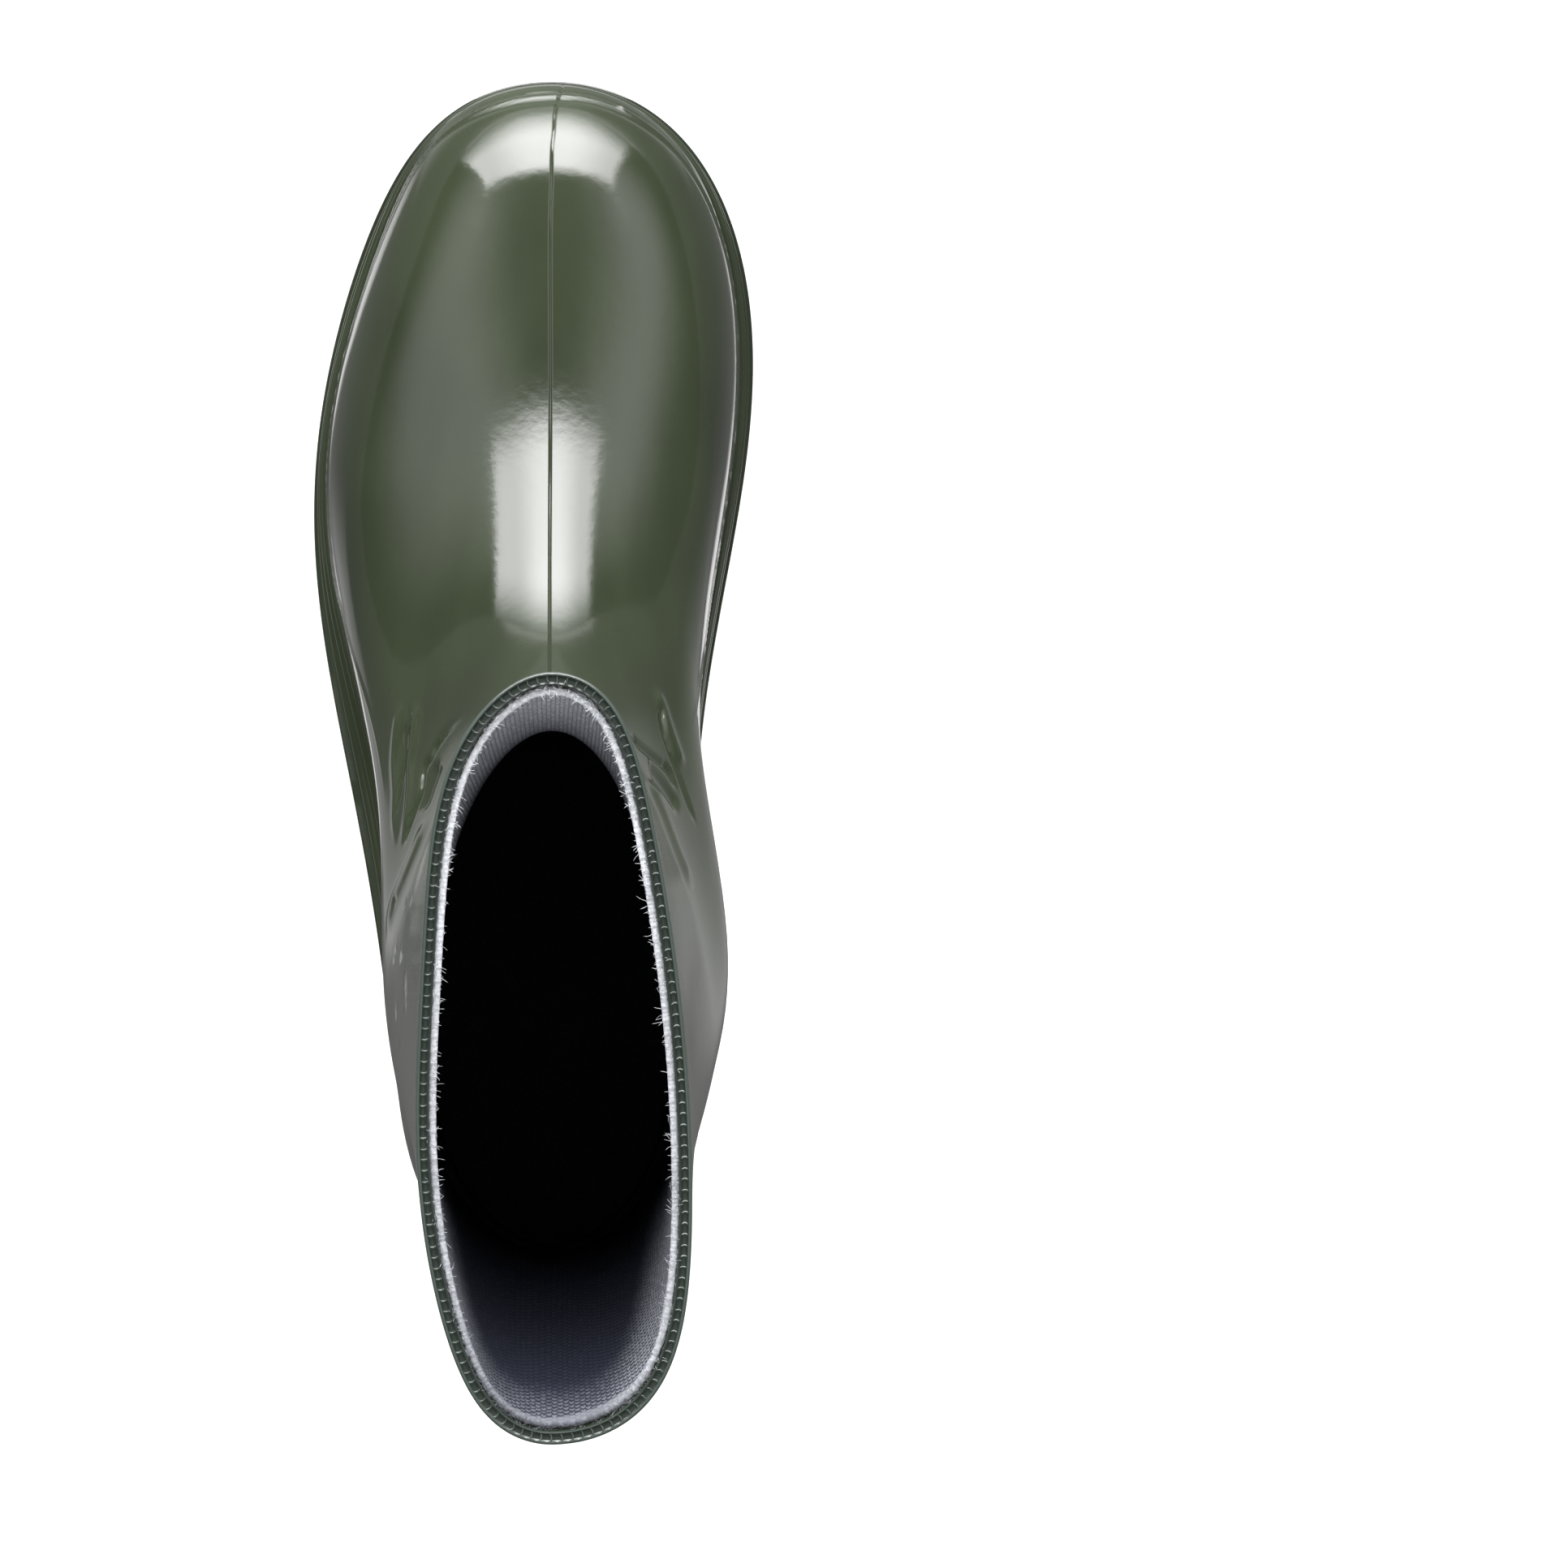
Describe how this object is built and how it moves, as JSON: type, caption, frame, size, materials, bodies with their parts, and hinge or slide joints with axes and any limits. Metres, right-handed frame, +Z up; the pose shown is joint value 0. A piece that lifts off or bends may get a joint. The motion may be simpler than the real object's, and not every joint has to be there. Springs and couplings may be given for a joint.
{
  "type": "rain boot",
  "caption": "Pull-on rain boot for a left foot, with a glossy moulded upper, cleated sole and knitted lining.",
  "frame": {"origin": "on the ground, at the centre of the boot's bounding box", "axes": "+Y from heel to toe, +Z up, +X to the inner (medial) side of the foot"},
  "size_m": [0.104, 0.285, 0.26],
  "materials": {
    "upper_green": "glossy olive green moulded PVC",
    "sole_green": "satin olive green moulded PVC",
    "knit_grey": "brushed pale grey knit",
    "seam_thread": "spun polyester thread",
    "foam_grey": "matt closed-cell foam",
    "cover_black": "matt woven cover",
    "board_tan": "matt fibre board",
    "core_black": "matt moulded filler",
    "shank_steel": "rolled strip"
  },
  "bodies": {
    "root": {"upper_shell": "upper_green", "welt_band": "upper_green", "outsole": "sole_green", "heel_cores": "core_black", "arch_shank": "shank_steel", "lasting_board": "board_tan", "lining_tube": "knit_grey", "lining_bottom": "knit_grey", "lining_seam": "seam_thread", "footbed_foam": "foam_grey", "footbed_cover": "cover_black"}
  },
  "joints": []
}
